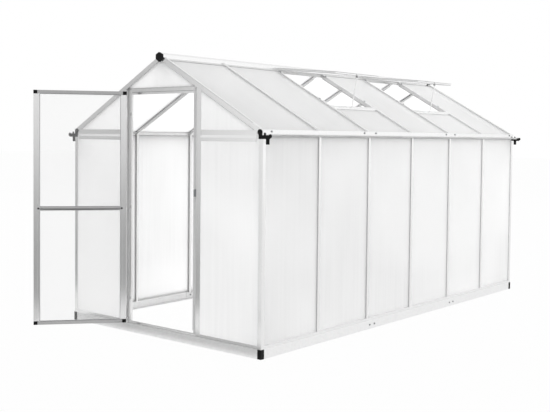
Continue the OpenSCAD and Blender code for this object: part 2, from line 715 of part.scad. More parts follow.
base_ends();
base_sides();
base_corner_caps();
sill_front();
sill_back();
sill_sides();
corner_posts();
side_bars_left();
side_bars_right();
wall_panels_left();
wall_panels_right();
eave_left();
eave_right();
gutter_end_caps();
ridge_beam();
ridge_caps();
rafters_front();
rafters_back();
roof_bars_left();
roof_bars_right();
roof_panels_left();
roof_panels_right();
gable_rails_front();
gable_rails_back();
back_studs();
door_post_left();
door_post_right();
door_header();
door_threshold();
wall_panels_front();
gable_panels_front();
wall_panels_back();
gable_panels_back();
vent_sills();
vent_frames();
vent_panes();
vent_stays();
door_hinge_knuckles();
latch_keeper();
door_stiles();
door_rails();
door_panes();
door_corner_caps();
door_hinge_leaves();
door_handle();
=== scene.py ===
import bpy
import bmesh
import json
import math
from mathutils import Matrix, Vector
from mathutils.geometry import convex_hull_2d


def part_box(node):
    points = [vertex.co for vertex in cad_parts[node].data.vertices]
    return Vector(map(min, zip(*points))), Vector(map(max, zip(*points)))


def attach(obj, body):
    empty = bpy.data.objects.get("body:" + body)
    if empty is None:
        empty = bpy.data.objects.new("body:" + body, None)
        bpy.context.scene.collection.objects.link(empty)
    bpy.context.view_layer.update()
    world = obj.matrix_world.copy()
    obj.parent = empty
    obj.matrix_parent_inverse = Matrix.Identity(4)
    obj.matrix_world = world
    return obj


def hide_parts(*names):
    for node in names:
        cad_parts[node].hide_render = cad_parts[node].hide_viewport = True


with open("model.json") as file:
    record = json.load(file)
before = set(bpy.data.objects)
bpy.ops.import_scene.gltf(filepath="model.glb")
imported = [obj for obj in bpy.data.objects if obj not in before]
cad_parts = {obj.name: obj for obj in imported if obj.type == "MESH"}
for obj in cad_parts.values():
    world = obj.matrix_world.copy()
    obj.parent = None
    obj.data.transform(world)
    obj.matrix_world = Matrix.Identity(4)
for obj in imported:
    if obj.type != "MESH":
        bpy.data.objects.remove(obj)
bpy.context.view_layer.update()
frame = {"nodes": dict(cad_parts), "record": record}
scene = bpy.context.scene
nodes = frame["nodes"]
behaviour = frame["record"]["behaviour"]
bodyOf = {name: body for body, names in behaviour["bodies"].items() for name in names}


# small helpers for nodes and colours

def linear(hexColour):
    # sRGB hex to the linear values that the shaders want
    parts = [int(hexColour[i:i + 2], 16) / 255 for i in (1, 3, 5)]
    return [((v + 0.055) / 1.055) ** 2.4 if v > 0.04045 else v / 12.92 for v in parts] + [1]


def perMetre(sizeMm):
    # scale of a pattern whose cells are about this many millimetres across
    return 1000 / sizeMm


def addNode(tree, kind, inputs=None, **settings):
    node = tree.nodes.new(kind)
    for key, value in settings.items():
        setattr(node, key, value)
    for key, value in (inputs or {}).items():
        if isinstance(value, bpy.types.NodeSocket):
            tree.links.new(value, node.inputs[key])
        else:
            node.inputs[key].default_value = value
    return node


def startMaterial(name):
    material = bpy.data.materials.new(name)
    material.use_nodes = True
    tree = material.node_tree
    tree.nodes.clear()
    place = addNode(tree, "ShaderNodeTexCoord").outputs["Object"]
    return material, tree, place


def endMaterial(tree, shader):
    addNode(tree, "ShaderNodeOutputMaterial", {"Surface": shader.outputs[0]})


# small helpers for meshes and pieces

boxFaces = [(0, 1, 3, 2), (4, 6, 7, 5), (0, 4, 5, 1), (2, 3, 7, 6), (0, 2, 6, 4), (1, 5, 7, 3)]
softening = {"weld": 1e-6, "flatDegrees": 1, "sharpRadians": 0.5, "segments": 2}


def boxShape(low, high):
    corners = []
    for x in (low[0], high[0]):
        for y in (low[1], high[1]):
            for z in (low[2], high[2]):
                corners.append(Vector((x, y, z)))
    return corners, boxFaces


def softened(mesh, bevelMm):
    # welds a mesh, drops the edges inside its flat faces and rounds its outer edges
    work = bmesh.new()
    work.from_mesh(mesh)
    bmesh.ops.remove_doubles(work, verts=work.verts, dist=softening["weld"])
    bmesh.ops.dissolve_limit(work, angle_limit=math.radians(softening["flatDegrees"]),
                             verts=work.verts, edges=work.edges)
    bmesh.ops.recalc_face_normals(work, faces=work.faces)
    outer = [edge for edge in work.edges if len(edge.link_faces) == 2 and edge.is_convex]
    sharp = [edge for edge in outer if edge.calc_face_angle() > softening["sharpRadians"]]
    bmesh.ops.bevel(work, geom=sharp, offset=bevelMm / 1000, segments=softening["segments"],
                    profile=0.5, affect="EDGES", clamp_overlap=True)
    work.to_mesh(mesh)
    work.free()


def addObject(name, data):
    thing = bpy.data.objects.new(name, data)
    scene.collection.objects.link(thing)
    return thing


def dress(target, material):
    target.data.materials.clear()
    target.data.materials.append(material)


def asPiece(name, mesh, body, material):
    piece = addObject(name, mesh)
    dress(piece, material)
    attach(piece, body)
    return piece


def newPiece(name, shapes, bevelMm, material):
    # closed shapes as one piece on the frame, with their edges rounded
    vertices, faces = [], []
    for more, moreFaces in shapes:
        start = len(vertices)
        vertices += [tuple(v) for v in more]
        faces += [tuple(i + start for i in face) for face in moreFaces]
    mesh = bpy.data.meshes.new(name)
    mesh.from_pydata(vertices, [], faces)
    mesh.validate()
    softened(mesh, bevelMm)
    return asPiece(name, mesh, "frame", material)


def softCopy(nodeName, bevelMm, material):
    # the CAD node again with its edges rounded, in place of the sharp one
    source = nodes[nodeName]
    mesh = source.data.copy()
    mesh.transform(source.matrix_world)
    softened(mesh, bevelMm)
    piece = asPiece("soft_" + nodeName, mesh, bodyOf[nodeName], material)
    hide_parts(nodeName)


# metals

metalLook = {
    "metallic": 0.85, "cloudMm": 180, "grainMm": 1.6, "grainDeepMm": 0.02,
    "aluminiumLight": "#f0f0f0", "aluminiumDark": "#ececec", "aluminiumRough": (0.18, 0.25),
    # the dull and jamb colours are darker copies of the aluminium's grey, as painted shade
    "shadedLight": "#b8b8b8", "shadedDark": "#aeaeae", "jambShadeLight": "#d2d2d2", "jambShadeDark": "#cacaca",
    # the underside grey is painted shade, mixed into faces that look down
    "underside": "#c2c2c2", "underFrom": -0.3, "underFull": -0.7,
    "steelLight": "#f4f4f4", "steelDark": "#f0f0f0", "steelRough": (0.50, 0.54), "spangleMm": 16,
    "dimpleMm": 3, "dimpleDeepMm": 0.006,
    "boltLight": "#a2a4a5", "boltDark": "#7c7f81", "boltRough": (0.28, 0.42), "mottleMm": 2.5,
}


def anodisedAluminium(name, light, dark):
    # extruded, etched and anodised: an even satin grey with faint cloudiness and a very fine grain;
    # faces that look down are mixed towards a darker grey, which is painted shade
    material, tree, place = startMaterial(name)
    roughLow, roughHigh = metalLook["aluminiumRough"]
    cloud = addNode(tree, "ShaderNodeTexNoise", {
        "Vector": place, "Scale": perMetre(metalLook["cloudMm"]), "Detail": 3.0})
    grain = addNode(tree, "ShaderNodeTexNoise", {
        "Vector": place, "Scale": perMetre(metalLook["grainMm"]), "Detail": 2.0})
    facing = addNode(tree, "ShaderNodeNewGeometry").outputs["True Normal"]
    height = addNode(tree, "ShaderNodeSeparateXYZ", {0: facing}).outputs["Z"]
    # painted shade: the more a face looks down, the more it takes of the darker underside grey
    under = addNode(tree, "ShaderNodeMapRange", {
        "Value": height, "From Min": metalLook["underFrom"], "From Max": metalLook["underFull"]})
    clean = addNode(tree, "ShaderNodeMix", {
        0: cloud.outputs[0], 6: linear(light), 7: linear(dark)}, data_type="RGBA")
    colour = addNode(tree, "ShaderNodeMix", {
        0: under.outputs[0], 6: clean.outputs[2], 7: linear(metalLook["underside"])}, data_type="RGBA")
    rough = addNode(tree, "ShaderNodeMapRange", {
        "Value": grain.outputs[0], "To Min": roughLow, "To Max": roughHigh})
    relief = addNode(tree, "ShaderNodeBump", {
        "Height": grain.outputs[0], "Distance": metalLook["grainDeepMm"] / 1000, "Strength": 1.0})
    endMaterial(tree, addNode(tree, "ShaderNodeBsdfPrincipled", {
        "Base Color": colour.outputs[2], "Metallic": metalLook["metallic"],
        "Roughness": rough.outputs[0], "Normal": relief.outputs[0]}))
    return material


def galvanisedSteel():
    # hot-dipped zinc: dull, with soft spangles about 16 mm across
    material, tree, place = startMaterial("galvanisedSteel")
    roughLow, roughHigh = metalLook["steelRough"]
    spangle = addNode(tree, "ShaderNodeTexVoronoi", {
        "Vector": place, "Scale": perMetre(metalLook["spangleMm"])})
    flake = addNode(tree, "ShaderNodeSeparateColor", {"Color": spangle.outputs["Color"]}).outputs[0]
    dimples = addNode(tree, "ShaderNodeTexNoise", {
        "Vector": place, "Scale": perMetre(metalLook["dimpleMm"]), "Detail": 3.0})
    colour = addNode(tree, "ShaderNodeMix", {
        0: flake, 6: linear(metalLook["steelLight"]), 7: linear(metalLook["steelDark"])}, data_type="RGBA")
    rough = addNode(tree, "ShaderNodeMapRange", {"Value": flake, "To Min": roughLow, "To Max": roughHigh})
    relief = addNode(tree, "ShaderNodeBump", {
        "Height": dimples.outputs[0], "Distance": metalLook["dimpleDeepMm"] / 1000, "Strength": 1.0})
    endMaterial(tree, addNode(tree, "ShaderNodeBsdfPrincipled", {
        "Base Color": colour.outputs[2], "Metallic": metalLook["metallic"],
        "Roughness": rough.outputs[0], "Normal": relief.outputs[0]}))
    return material


def zincPlate():
    # small turned and headed fixings, bright but mottled by handling
    material, tree, place = startMaterial("zincPlate")
    roughLow, roughHigh = metalLook["boltRough"]
    mottle = addNode(tree, "ShaderNodeTexNoise", {
        "Vector": place, "Scale": perMetre(metalLook["mottleMm"]), "Detail": 3.0}).outputs[0]
    colour = addNode(tree, "ShaderNodeMix", {
        0: mottle, 6: linear(metalLook["boltLight"]), 7: linear(metalLook["boltDark"])}, data_type="RGBA")
    rough = addNode(tree, "ShaderNodeMapRange", {"Value": mottle, "To Min": roughLow, "To Max": roughHigh})
    endMaterial(tree, addNode(tree, "ShaderNodeBsdfPrincipled", {
        "Base Color": colour.outputs[2], "Metallic": 1.0, "Roughness": rough.outputs[0]}))
    return material


# twin-wall sheets

sheetLook = {
    # the real sheet's ribs are 6 mm apart; they are drawn every 12 mm, because finer ones can't be told apart
    "ribMm": 12, "ribDeepMm": 0.05, "ribStrength": 0.3, "skin": "#fcfcfc", "rib": "#f2f2f2",
    "rough": (0.20, 0.28), "refraction": 1.585, "milkMm": 700, "milkFrom": 0.35, "milkFull": 0.65,
    "streakMm": 28, "streakStretch": 0.03, "lightThrough": "#ffffff",
    # share of a skin that is seen straight through, and share that glows with the light behind it
    "milky": (0.30, 0.55), "clear": (0.95, 0.05),
    "sideStreaks": "#d6d6d6", "roofStreaks": "#e2e2e2", "gableStreaks": "#dadada", "doorStreaks": "#ececec",
}


def twinWallSheet(name, direction, clarity, streakColour):
    # extruded polycarbonate: two thin skins on ribs, milky to the eye, with light coming through and
    # long faint streaks along the extrusion where the skins are a little thicker
    material, tree, place = startMaterial(name)
    seeThrough, glow = clarity
    roughLow, roughHigh = sheetLook["rough"]
    waveScale = math.pi / 10 * perMetre(sheetLook["ribMm"])      # Wave Texture repeats every pi / 10 / scale
    rib = addNode(tree, "ShaderNodeTexWave", {
        "Vector": place, "Scale": waveScale, "Distortion": 0.0}, bands_direction=direction).outputs["Fac"]
    along = sheetLook["streakStretch"]
    stretch = (1, along, along) if direction == "X" else (along, 1, along)
    drawn = addNode(tree, "ShaderNodeVectorMath", {0: place, 1: stretch}, operation="MULTIPLY")
    streak = addNode(tree, "ShaderNodeTexNoise", {
        "Vector": drawn.outputs[0], "Scale": perMetre(sheetLook["streakMm"]), "Detail": 2.0})
    milk = addNode(tree, "ShaderNodeTexNoise", {
        "Vector": place, "Scale": perMetre(sheetLook["milkMm"]), "Detail": 1.0})
    patches = addNode(tree, "ShaderNodeMapRange", {
        "Value": milk.outputs[0], "From Min": sheetLook["milkFrom"], "From Max": sheetLook["milkFull"]})
    uneven = addNode(tree, "ShaderNodeMath", {
        0: streak.outputs[0], 1: patches.outputs[0]}, operation="MULTIPLY")
    ribbed = addNode(tree, "ShaderNodeMix", {
        0: rib, 6: linear(sheetLook["skin"]), 7: linear(sheetLook["rib"])}, data_type="RGBA")
    colour = addNode(tree, "ShaderNodeMix", {
        0: uneven.outputs[0], 6: ribbed.outputs[2], 7: linear(streakColour)}, data_type="RGBA")
    rough = addNode(tree, "ShaderNodeMapRange", {
        "Value": milk.outputs[0], "To Min": roughLow, "To Max": roughHigh})
    relief = addNode(tree, "ShaderNodeBump", {
        "Height": rib, "Distance": sheetLook["ribDeepMm"] / 1000, "Strength": sheetLook["ribStrength"]})
    skin = addNode(tree, "ShaderNodeBsdfPrincipled", {
        "Base Color": colour.outputs[2], "Roughness": rough.outputs[0], "Normal": relief.outputs[0],
        "IOR": sheetLook["refraction"], "Alpha": 1 - seeThrough})
    through = addNode(tree, "ShaderNodeBsdfTranslucent", {"Color": linear(sheetLook["skin"])})
    lit = addNode(tree, "ShaderNodeMixShader", {0: glow, 1: skin.outputs[0], 2: through.outputs[0]})
    letThrough = addNode(tree, "ShaderNodeBsdfTransparent", {"Color": linear(sheetLook["lightThrough"])})
    rays = addNode(tree, "ShaderNodeLightPath")
    endMaterial(tree, addNode(tree, "ShaderNodeMixShader", {
        0: rays.outputs["Is Shadow Ray"], 1: lit.outputs[0], 2: letThrough.outputs[0]}))
    return material


# plastics and rubber

plasticLook = {
    "blotchMm": 30, "grainMm": 0.9, "grainDeepMm": 0.03, "smoother": 0.05, "rougher": 0.07,
    "refraction": 1.5, "shine": 0.2,
    # light colour, dark colour, roughness
    "black": ("#0a0a0b", "#101011", 0.55), "greySeal": ("#c4c5c6", "#cecfd0", 0.72),
    # the dark seal colour also serves as painted shade: the line along the header's groove
    # the pale seal colour is also a painted highlight where it covers the door stops
    "darkSealAndGrooveShade": ("#858687", "#929394", 0.72), "paleSealAndPaintedHighlight": ("#fbfbfb", "#f3f3f3", 0.60),
}


def mouldedPlastic(name, light, dark, rough):
    # injection-moulded, with the fine spark-eroded grain of the tool
    material, tree, place = startMaterial(name)
    grain = addNode(tree, "ShaderNodeTexNoise", {
        "Vector": place, "Scale": perMetre(plasticLook["grainMm"]), "Detail": 2.0})
    blotch = addNode(tree, "ShaderNodeTexNoise", {
        "Vector": place, "Scale": perMetre(plasticLook["blotchMm"]), "Detail": 3.0})
    colour = addNode(tree, "ShaderNodeMix", {
        0: blotch.outputs[0], 6: linear(light), 7: linear(dark)}, data_type="RGBA")
    uneven = addNode(tree, "ShaderNodeMapRange", {
        "Value": grain.outputs[0], "To Min": rough - plasticLook["smoother"],
        "To Max": rough + plasticLook["rougher"]})
    relief = addNode(tree, "ShaderNodeBump", {
        "Height": grain.outputs[0], "Distance": plasticLook["grainDeepMm"] / 1000, "Strength": 1.0})
    endMaterial(tree, addNode(tree, "ShaderNodeBsdfPrincipled", {
        "Base Color": colour.outputs[2], "Roughness": uneven.outputs[0], "Normal": relief.outputs[0],
        "IOR": plasticLook["refraction"], "Specular IOR Level": plasticLook["shine"]}))
    return material


aluminium = anodisedAluminium("anodisedAluminium", metalLook["aluminiumLight"], metalLook["aluminiumDark"])
# a darker copy of the same aluminium: painted shade on the drip channels and the door rails
shadedAluminium = anodisedAluminium("shadedAluminium", metalLook["shadedLight"], metalLook["shadedDark"])
# a darker copy of the same aluminium: painted shade on the jambs inside the vent openings
shadedJambAluminium = anodisedAluminium("shadedJambAluminium", metalLook["jambShadeLight"], metalLook["jambShadeDark"])
steel = galvanisedSteel()
zinc = zincPlate()
wallSheet = twinWallSheet("twinWallSheetSides", "Y", sheetLook["milky"], sheetLook["sideStreaks"])
roofSheet = twinWallSheet("twinWallSheetRoof", "Y", sheetLook["milky"], sheetLook["roofStreaks"])
gableSheet = twinWallSheet("twinWallSheetGables", "X", sheetLook["milky"], sheetLook["gableStreaks"])
doorSheet = twinWallSheet("twinWallSheetDoor", "X", sheetLook["clear"], sheetLook["doorStreaks"])
black = mouldedPlastic("mouldedBlackPlastic", *plasticLook["black"])
sealRubber = mouldedPlastic("greySealRubber", *plasticLook["greySeal"])
darkRubberAndGrooveShade = mouldedPlastic("grooveShadeAndDarkSealRubber", *plasticLook["darkSealAndGrooveShade"])
paleRubberAndPaintedHighlight = mouldedPlastic("paintedHighlightAndPaleSealRubber", *plasticLook["paleSealAndPaintedHighlight"])

finishes = {"base_steel": steel, "aluminium": aluminium, "twin_wall": wallSheet, "black_plastic": black}
for row in frame["record"]["subparts"]:
    name = row["node"]
    finish = finishes[row["material_slot"]]
    if name == "door_panes":
        finish = doorSheet
    elif "roof_panels" in name or name == "vent_panes":
        finish = roofSheet
    elif "panels" in name and not ("left" in name or "right" in name):
        finish = gableSheet
    dress(nodes[name], finish)
print("materials on", len(nodes), "nodes")


# places taken from the CAD

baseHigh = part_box("base_sides")[1]
barLow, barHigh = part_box("side_bars_right")
eaveLow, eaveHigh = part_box("eave_right")
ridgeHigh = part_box("ridge_beam")[1]
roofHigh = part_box("roof_panels_right")[1]
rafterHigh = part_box("rafters_front")[1]
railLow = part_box("gable_rails_front")[0]
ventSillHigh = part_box("vent_sills")[1]
stayLow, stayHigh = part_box("vent_stays")
keeperLow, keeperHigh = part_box("latch_keeper")
headerLow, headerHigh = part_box("door_header")
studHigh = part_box("back_studs")[1]
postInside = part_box("door_post_right")[0].x
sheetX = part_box("wall_panels_right")[1].x       # outer face of the side sheets
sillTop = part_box("sill_sides")[1].z
halfWidth, baseTop = baseHigh.x, baseHigh.z
halfLength, eaveUnder = eaveHigh.y, eaveLow.z
stopY, stepX = keeperHigh.y, keeperHigh.x       # front of the door stops, step beside them on the posts
bars = {"along": 5, "capHalf": 0.011}           # bars on each side of the house, half the width of their caps
capHalf = bars["capHalf"]
barPitch = (barHigh.y - barLow.y - 2 * capHalf) / (bars["along"] - 1)
barPlaces = [(i - (bars["along"] - 1) / 2) * barPitch for i in range(bars["along"])]
ventBays = [(barPlaces[1], barPlaces[2]), (barPlaces[3], barPlaces[4])]


def widestFace(nodeName, wanted):
    return max((p for p in nodes[nodeName].data.polygons if wanted(p)), key=lambda p: p.area)


def boxOf(points):
    return [Vector([pick(p[i] for p in points) for i in range(3)]) for pick in (min, max)]


slopeFace = widestFace("roof_panels_right", lambda p: p.normal.z > 0.5)     # a face that looks up
slopeTan = slopeFace.normal.x / slopeFace.normal.z
slopeUp = Vector((slopeFace.normal.x, 0, slopeFace.normal.z)).normalized()


def roofLine(x):
    # height of the outer faces of the roof bars and rafters
    return rafterHigh.z - (abs(x) - ridgeHigh.x) * slopeTan


def sheetTop(x):
    return roofHigh.z - (abs(x) - ridgeHigh.x) * slopeTan


def slopedBar(sign, xEnds, yEnds, lifts, line):
    # a bar that follows the slope of the roof, between two heights over a line of it
    corners = []
    for x in xEnds:
        for y in yEnds:
            for lift in lifts:
                corners.append(Vector((sign * x, y, line(x) + lift)))
    return corners, boxFaces


def inVentBay(y):
    return any(low < y < high for low, high in ventBays)


def bayEnds(fromGable, besideBar):
    # where the stretches between the bars start and end along the house
    places = [-halfLength + fromGable]
    places += [y + way * (capHalf + besideBar) for y in barPlaces for way in (-1, 1)]
    places.append(halfLength - fromGable)
    return list(zip(places[::2], places[1::2]))


# the door leaf's own frame: the pin is its origin, X runs along the closed leaf, Y to the inside
hinge = behaviour["joints"][0]
pin = Vector(hinge["pos_m"])
leafTurn = Matrix.Rotation(-math.radians(hinge["range_deg"][1]), 4, "Z")
leafPlace = Matrix.Translation(Vector((pin.x, pin.y, 0))) @ leafTurn
leafIn, leafOut = leafTurn @ Vector((0, 1, 0)), leafTurn @ Vector((0, -1, 0))


def leafBox(name):
    back = leafPlace.inverted() @ nodes[name].matrix_world
    return boxOf([back @ v.co for v in nodes[name].data.vertices])


def onLeaf(x, y, z):
    return leafPlace @ Vector((x, y, z))


leafLow, leafHigh = leafBox("door_stiles")
paneLow, paneHigh = leafBox("door_panes")
eyeLow, eyeHigh = leafBox("door_hinge_leaves")
pullLow, pullHigh = leafBox("door_handle")
paneEdges = sorted({round(v.co.z, 4) for v in nodes["door_panes"].data.vertices})


# node trees for what repeats: bolts on points that carry the way they face, and round bars along lines

def startTree(name, numbers):
    tree = bpy.data.node_groups.new(name, "GeometryNodeTree")
    plugs = tree.interface
    plugs.new_socket("Geometry", in_out="INPUT", socket_type="NodeSocketGeometry")
    for label in numbers:
        kind = "NodeSocketInt" if "sides" in label else "NodeSocketFloat"
        plugs.new_socket(label, in_out="INPUT", socket_type=kind)
    plugs.new_socket("Material", in_out="INPUT", socket_type="NodeSocketMaterial")
    plugs.new_socket("Geometry", in_out="OUTPUT", socket_type="NodeSocketGeometry")
    return tree, addNode(tree, "NodeGroupInput")


def endTree(tree, given, shape):
    real = addNode(tree, "GeometryNodeRealizeInstances", {"Geometry": shape})
    done = addNode(tree, "GeometryNodeSetMaterial",
                   {"Geometry": real.outputs[0], "Material": given.outputs["Material"]})
    addNode(tree, "NodeGroupOutput", {"Geometry": done.outputs[0]})


def boltTree():
    # a flanged head on every point, turned to face along the point's "aim"
    tree, given = startTree("boltsOnPoints", ["Head across", "Head height", "Head sides",
                                              "Washer across", "Washer height", "Washer sides"])

    def half(socket):
        return addNode(tree, "ShaderNodeMath", {0: socket, 1: 0.5}, operation="MULTIPLY").outputs[0]

    def disc(part, lift):
        solid = addNode(tree, "GeometryNodeMeshCylinder", {
            "Vertices": given.outputs[part + " sides"], "Radius": half(given.outputs[part + " across"]),
            "Depth": given.outputs[part + " height"]})
        up = addNode(tree, "ShaderNodeCombineXYZ", {"Z": lift})
        return addNode(tree, "GeometryNodeTransform",
                       {"Geometry": solid.outputs["Mesh"], "Translation": up.outputs[0]}).outputs[0]

    washerLift = half(given.outputs["Washer height"])
    headLift = addNode(tree, "ShaderNodeMath", {
        0: given.outputs["Washer height"], 1: half(given.outputs["Head height"])}, operation="ADD").outputs[0]
    bolt = addNode(tree, "GeometryNodeJoinGeometry")
    for part in (disc("Washer", washerLift), disc("Head", headLift)):
        tree.links.new(part, bolt.inputs[0])
    aim = addNode(tree, "GeometryNodeInputNamedAttribute", {"Name": "aim"}, data_type="FLOAT_VECTOR")
    turn = addNode(tree, "FunctionNodeAlignRotationToVector", {"Vector": aim.outputs[0]}, axis="Z")
    placed = addNode(tree, "GeometryNodeInstanceOnPoints", {
        "Points": given.outputs["Geometry"], "Instance": bolt.outputs[0], "Rotation": turn.outputs[0]})
    endTree(tree, given, placed.outputs[0])
    return tree


def sweepTree():
    # a round bar along every line of the mesh, bent with a radius at its corners and closed at its ends
    tree, given = startTree("roundBarAlongLines", ["Radius", "Bend radius", "Bar sides"])
    lines = addNode(tree, "GeometryNodeMeshToCurve", {"Mesh": given.outputs["Geometry"]})
    bent = addNode(tree, "GeometryNodeFilletCurve", {
        "Curve": lines.outputs[0], "Radius": given.outputs["Bend radius"], "Count": 5, "Limit Radius": True},
        mode="POLY")
    ring = addNode(tree, "GeometryNodeCurvePrimitiveCircle", {
        "Resolution": given.outputs["Bar sides"], "Radius": given.outputs["Radius"]})
    bar = addNode(tree, "GeometryNodeCurveToMesh", {
        "Curve": bent.outputs[0], "Profile Curve": ring.outputs[0], "Fill Caps": True})
    endTree(tree, given, bar.outputs[0])
    return tree


def runTree(name, source, tree, values, body, material):
    # evaluates the tree on a source mesh and keeps the result as a plain mesh
    carrier = addObject(name + "Source", source)
    modifier = carrier.modifiers.new("tree", "NODES")
    modifier.node_group = tree
    sockets = {s.name: s.identifier for s in tree.interface.items_tree if s.in_out == "INPUT"}
    for label, value in values.items():
        modifier[sockets[label]] = value
    modifier[sockets["Material"]] = material
    ready = carrier.evaluated_get(bpy.context.evaluated_depsgraph_get())
    mesh = bpy.data.meshes.new_from_object(ready)
    mesh.name = name
    carrier.modifiers.clear()
    bpy.data.objects.remove(carrier)
    return asPiece(name, mesh, body, material)


boltsTree = boltTree()
barsTree = sweepTree()
boltSizes = {"headAcross": 0.010, "headHeight": 0.004, "headSides": 6,
             "washerAcross": 0.014, "washerHeight": 0.0014, "washerSides": 14}


def boltGroup(name, spots, body, sizes=boltSizes, material=zinc):
    # each spot is a place and the way that the bolt faces
    source = bpy.data.meshes.new(name + "Points")
    source.from_pydata([tuple(place) for place, way in spots], [], [])
    aim = source.attributes.new("aim", "FLOAT_VECTOR", "POINT")
    for item, (place, way) in zip(aim.data, spots):
        item.vector = way
    values = {"Head across": sizes["headAcross"], "Head height": sizes["headHeight"],
              "Head sides": sizes["headSides"], "Washer across": sizes["washerAcross"],
              "Washer height": sizes["washerHeight"], "Washer sides": sizes["washerSides"]}
    return runTree(name, source, boltsTree, values, body, material)


def sweepGroup(name, lines, body, sizes, material):
    # each line is a list of points, or a closed loop when its first point comes again at its end
    points, edges = [], []
    for line in lines:
        closed = line[0] == line[-1]
        kept = line[:-1] if closed else line
        start = len(points)
        points += [tuple(p) for p in kept]
        edges += [(start + i, start + i + 1) for i in range(len(kept) - 1)]
        if closed:
            edges.append((start + len(kept) - 1, start))
    source = bpy.data.meshes.new(name + "Lines")
    source.from_pydata(points, edges, [])
    values = {"Radius": sizes["radius"], "Bend radius": sizes["bend"], "Bar sides": sizes["sides"]}
    return runTree(name, source, barsTree, values, body, material)


def mirrored(spots):
    return spots + [((-p[0], p[1], p[2]), (-a[0], a[1], a[2])) for p, a in spots]


# bolts along the sides: beside the joints of the base and of the eaves, and near the ends of the eaves

sideBolts = {"spliceFrom": 0.062, "baseApart": 0.031, "baseWall": 0.005,
             "eaveApart": 0.076, "eaveUp": 0.034, "eaveFace": 0.043, "fromEnd": 0.085}
outward, inward, front, back = (1, 0, 0), (-1, 0, 0), (0, -1, 0), (0, 1, 0)
spliceBars = [barPlaces[1], barPlaces[3]]
eaveBoltX, eaveBoltZ = eaveLow.x + sideBolts["eaveFace"], eaveUnder + sideBolts["eaveUp"]
sideSpots = []
for y in spliceBars:
    for way in (-1, 1):
        at = y + sideBolts["spliceFrom"] + way * sideBolts["baseApart"]
        sideSpots.append(((halfWidth, at, baseTop / 2), outward))
        sideSpots.append(((halfWidth - sideBolts["baseWall"], at, baseTop / 2), inward))
        sideSpots.append(((eaveBoltX, y + way * sideBolts["eaveApart"], eaveBoltZ), outward))
for way in (-1, 1):
    sideSpots.append(((eaveBoltX, way * (halfLength - sideBolts["fromEnd"]), eaveBoltZ), outward))
boltGroup("sideBolts", mirrored(sideSpots), "frame")


# plates behind the joints of the base channels

plates = {"half": 0.080, "low": 0.012, "high": 0.050, "thick": 0.003, "channelWall": 0.002, "bevelMm": 0.8}
plateX = halfWidth - plates["channelWall"]
plateShapes = []
for y in spliceBars:
    middle = y + sideBolts["spliceFrom"]
    for sign in (-1, 1):
        xs = sorted((sign * (plateX - plates["thick"]), sign * plateX))
        plateShapes.append(boxShape((xs[0], middle - plates["half"], plates["low"]),
                                    (xs[1], middle + plates["half"], plates["high"])))
newPiece("splicePlates", plateShapes, plates["bevelMm"], steel)


# bolts on the back gable: rafters and studs

backBolts = {"rafterX": (0.885, 0.425, 0.065), "rafterIn": 0.020, "sunk": 0.002,
             "overSill": 0.02, "underRail": 0.03, "underTop": 0.08}
backSpots = []
for x in backBolts["rafterX"]:
    backSpots.append(((x, halfLength, roofLine(x) - backBolts["rafterIn"] / slopeUp.z), back))
for z in (sillTop + backBolts["overSill"], railLow.z - backBolts["underRail"],
          studHigh.z - backBolts["underTop"]):
    backSpots.append(((studHigh.x - capHalf, halfLength - backBolts["sunk"], z), back))
boltGroup("backBolts", mirrored(backSpots), "frame")
print("bolts and plates:", 2 * (len(sideSpots) + len(backSpots)))


# rubber seals where the sheets of the walls and the roof meet their bars

sealLook = {"radius": 0.0013, "bend": 0.0, "sides": 8, "out": 0.0012, "besideBar": 0.0010,
            "fromRidge": 0.003, "fromWall": 0.004, "wallCorner": 0.033, "roofCorner": 0.026,
            "eaveCorner": 0.034, "eaveBeside": 0.002, "eaveDown": 0.001}
ridgeX, footX = ridgeHigh.x + sealLook["fromRidge"], barHigh.x - sealLook["fromWall"]
ventFootX = ventSillHigh.x
wallSealLines, roofSealLines = [], []


def wallSeal(sign, y):
    x = sign * (sheetX + sealLook["out"])
    wallSealLines.append([(x, y, sillTop), (x, y, eaveUnder)])


def roofSeal(sign, y, topX):
    roofSealLines.append([(sign * x, y, sheetTop(x) + sealLook["out"]) for x in (footX, topX)])


for sign in (-1, 1):
    for y in barPlaces:
        for way in (-1, 1):
            at = y + way * (capHalf + sealLook["besideBar"])
            wallSeal(sign, at)
            roofSeal(sign, at, ventFootX if sign > 0 and inVentBay(at) else ridgeX)
    for way in (-1, 1):
        wallSeal(sign, way * (halfLength - sealLook["wallCorner"]))
        roofSeal(sign, way * (halfLength - sealLook["roofCorner"]), ridgeX)
    x, z = sign * (sheetX + sealLook["out"]), eaveUnder - sealLook["eaveDown"]
    for start, end in bayEnds(sealLook["eaveCorner"], sealLook["eaveBeside"]):
        wallSealLines.append([(x, start, z), (x, end, z)])
sweepGroup("wallSeals", wallSealLines, "frame", sealLook, sealRubber)
sweepGroup("roofSeals", roofSealLines, "frame", sealLook, paleRubberAndPaintedHighlight)


# seals round the open vents, the rods that they turn on, and the bolts of the bars beside them

